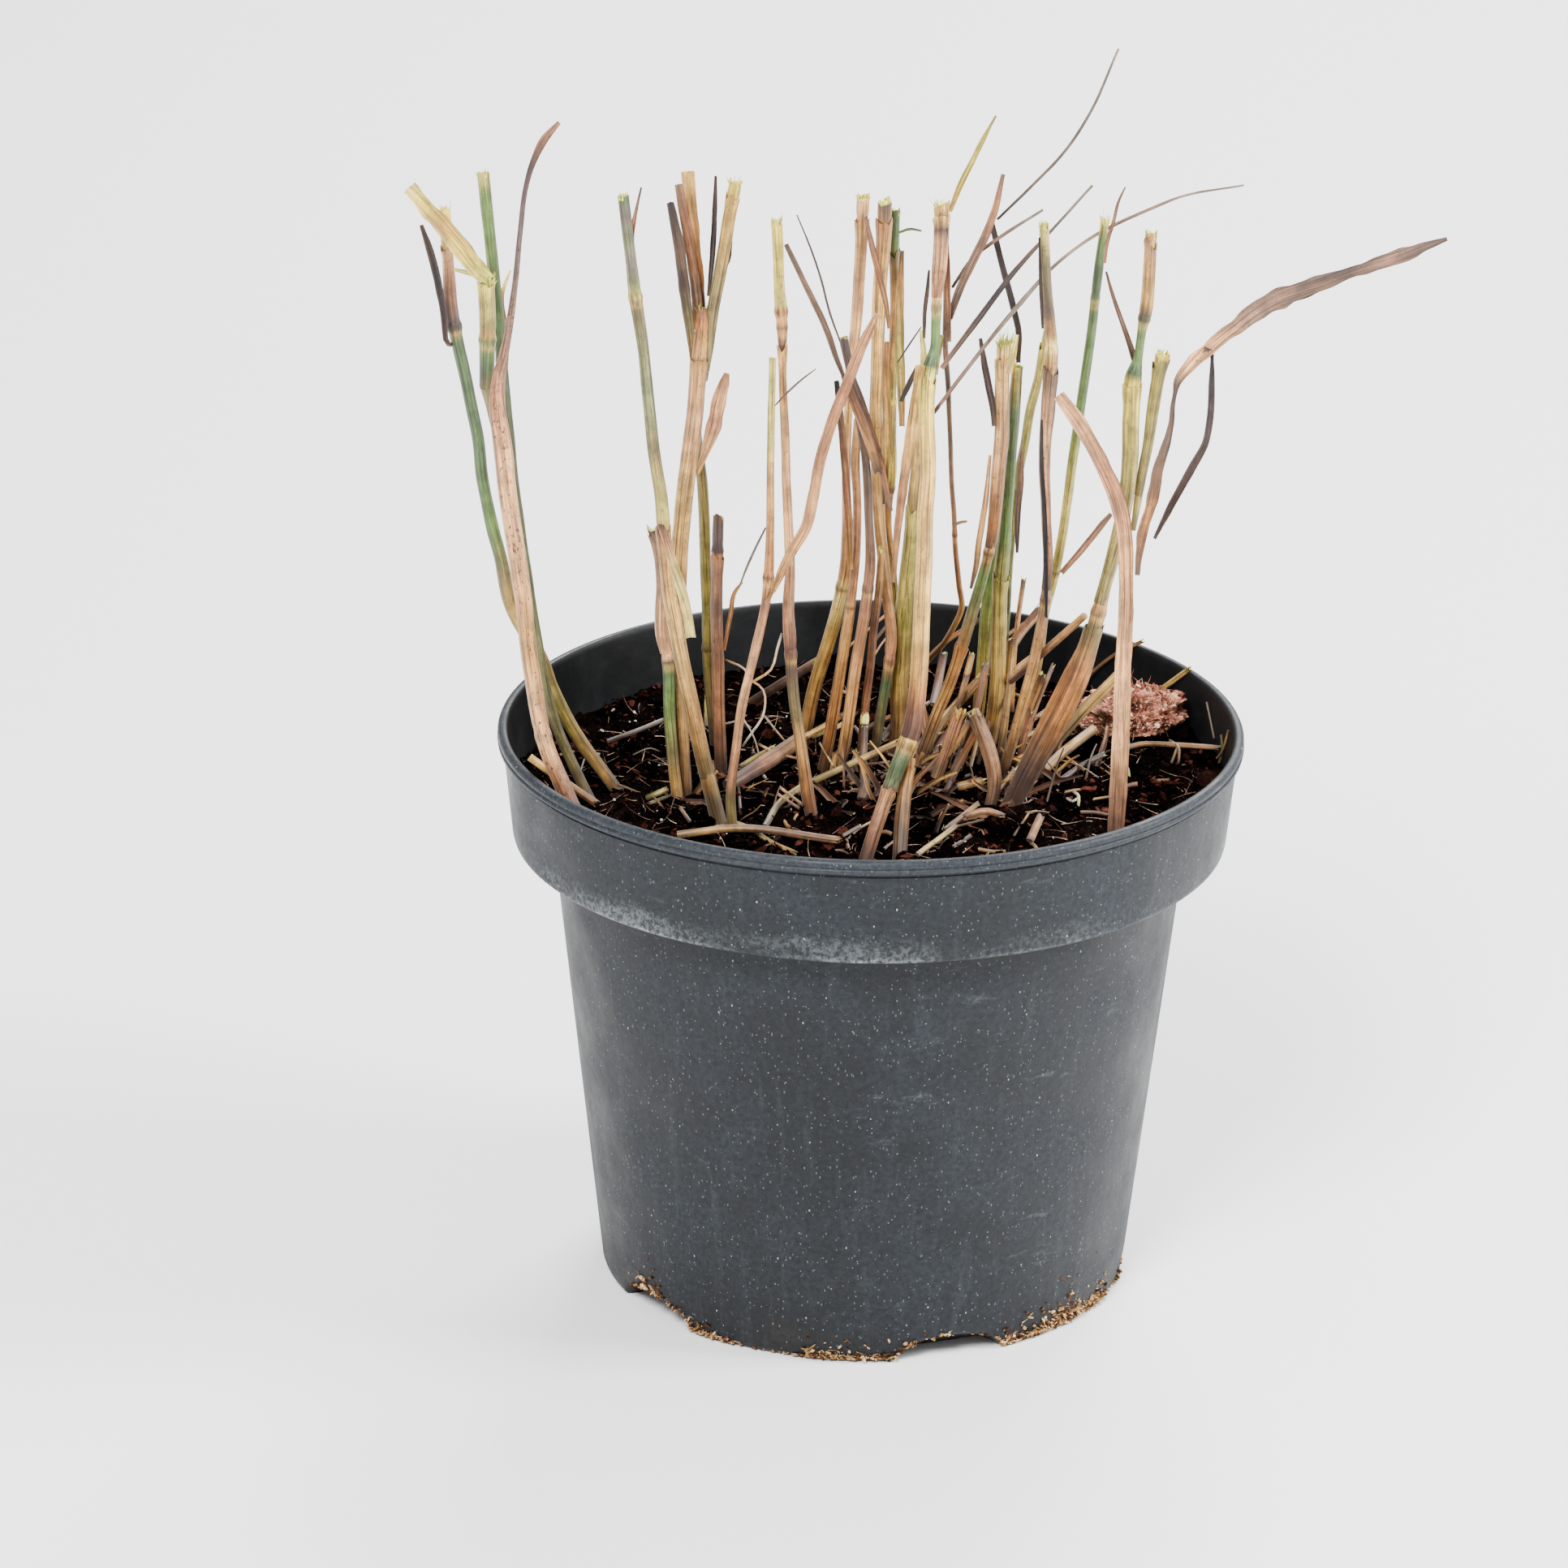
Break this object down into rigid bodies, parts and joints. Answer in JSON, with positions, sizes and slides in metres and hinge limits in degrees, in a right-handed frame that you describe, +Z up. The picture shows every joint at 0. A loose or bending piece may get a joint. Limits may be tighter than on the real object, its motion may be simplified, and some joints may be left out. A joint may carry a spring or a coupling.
{
  "type": "potted ornamental grass clump",
  "caption": "Cut-back clump of tall ornamental grass in a round black plastic nursery pot filled with dark peat.",
  "frame": {"origin": "middle of the pot's flat base, on the ground", "axes": "+Z up out of the pot, -Y towards the side the picture was taken from, +X to the right as seen from there"},
  "size_m": [0.3134, 0.2296, 0.3937],
  "materials": {
    "pot_plastic": "moulded black plastic with dust and lime marks",
    "dark_peat": "damp dark peat with bark, roots and perlite",
    "fibrous_peat": "torn reddish fibrous peat",
    "tan_culm": "dry tan culm with papery sheaths",
    "cream_culm": "dry cream culm",
    "pink_sheath": "dry pinkish sheath, ribbed along its length",
    "olive_culm": "half-dry olive culm",
    "green_culm": "fresh green culm",
    "brown_leaf": "dry curled brown leaf",
    "dark_leaf": "dry dark leaf"
  },
  "bodies": {
    "root": {"nursery_pot": "pot_plastic", "peat_root_ball": "dark_peat", "fibrous_peat_lump": "fibrous_peat", "speckled_sheath_culm": "pink_sheath", "broken_cream_culm": "cream_culm", "green_stub_culm": "green_culm", "long_left_culm": "green_culm", "left_folded_leaf": "dark_leaf", "grey_green_culm": "tan_culm", "torn_sheath_culm": "green_culm", "cream_sheath_strip": "cream_culm", "forked_culm": "tan_culm", "fork_side_leaf": "dark_leaf", "olive_branch_culm": "olive_culm", "pink_sheath_flake": "pink_sheath", "olive_back_culm": "olive_culm", "reddish_culm": "pink_sheath", "cream_culm": "cream_culm", "thin_grey_culm": "tan_culm", "pink_folded_leaf": "pink_sheath", "thin_brown_leaf": "brown_leaf", "bending_tan_culm": "tan_culm", "tan_culm_behind": "tan_culm", "slim_brown_culm": "tan_culm", "short_pink_stem": "pink_sheath", "olive_tan_culm": "olive_culm", "right_bunch_culm": "tan_culm", "wide_olive_sheath": "olive_culm", "central_culm": "tan_culm", "central_culm_leg": "tan_culm", "pinkish_strand": "pink_sheath", "thin_dark_stem": "dark_leaf", "bent_tan_stub": "tan_culm", "bent_pink_stub": "pink_sheath", "pith_topped_culm": "tan_culm", "green_tan_culm": "green_culm", "golden_green_culm": "olive_culm", "pale_green_culm": "green_culm", "black_striped_culm": "tan_culm", "slim_green_culm": "green_culm", "fat_sheath_culm": "tan_culm", "split_half_culm": "olive_culm", "pink_flat_sheath": "pink_sheath", "brown_side_leaf": "brown_leaf", "dark_thin_leaf": "dark_leaf", "low_crossing_leaf": "brown_leaf", "dark_crossing_leaf": "dark_leaf", "long_arching_leaf": "brown_leaf", "long_hair_leaf": "brown_leaf", "large_dry_leaf": "pink_sheath", "hanging_folded_leaf": "dark_leaf", "side_twig_leaf": "brown_leaf", "leaning_twig": "brown_leaf", "olive_side_stub": "olive_culm", "left_rim_straw": "tan_culm", "front_straw": "tan_culm", "thick_pink_straw": "pink_sheath", "slanting_grey_stub": "brown_leaf", "right_straw": "tan_culm", "pale_straw": "cream_culm"}
  },
  "joints": []
}
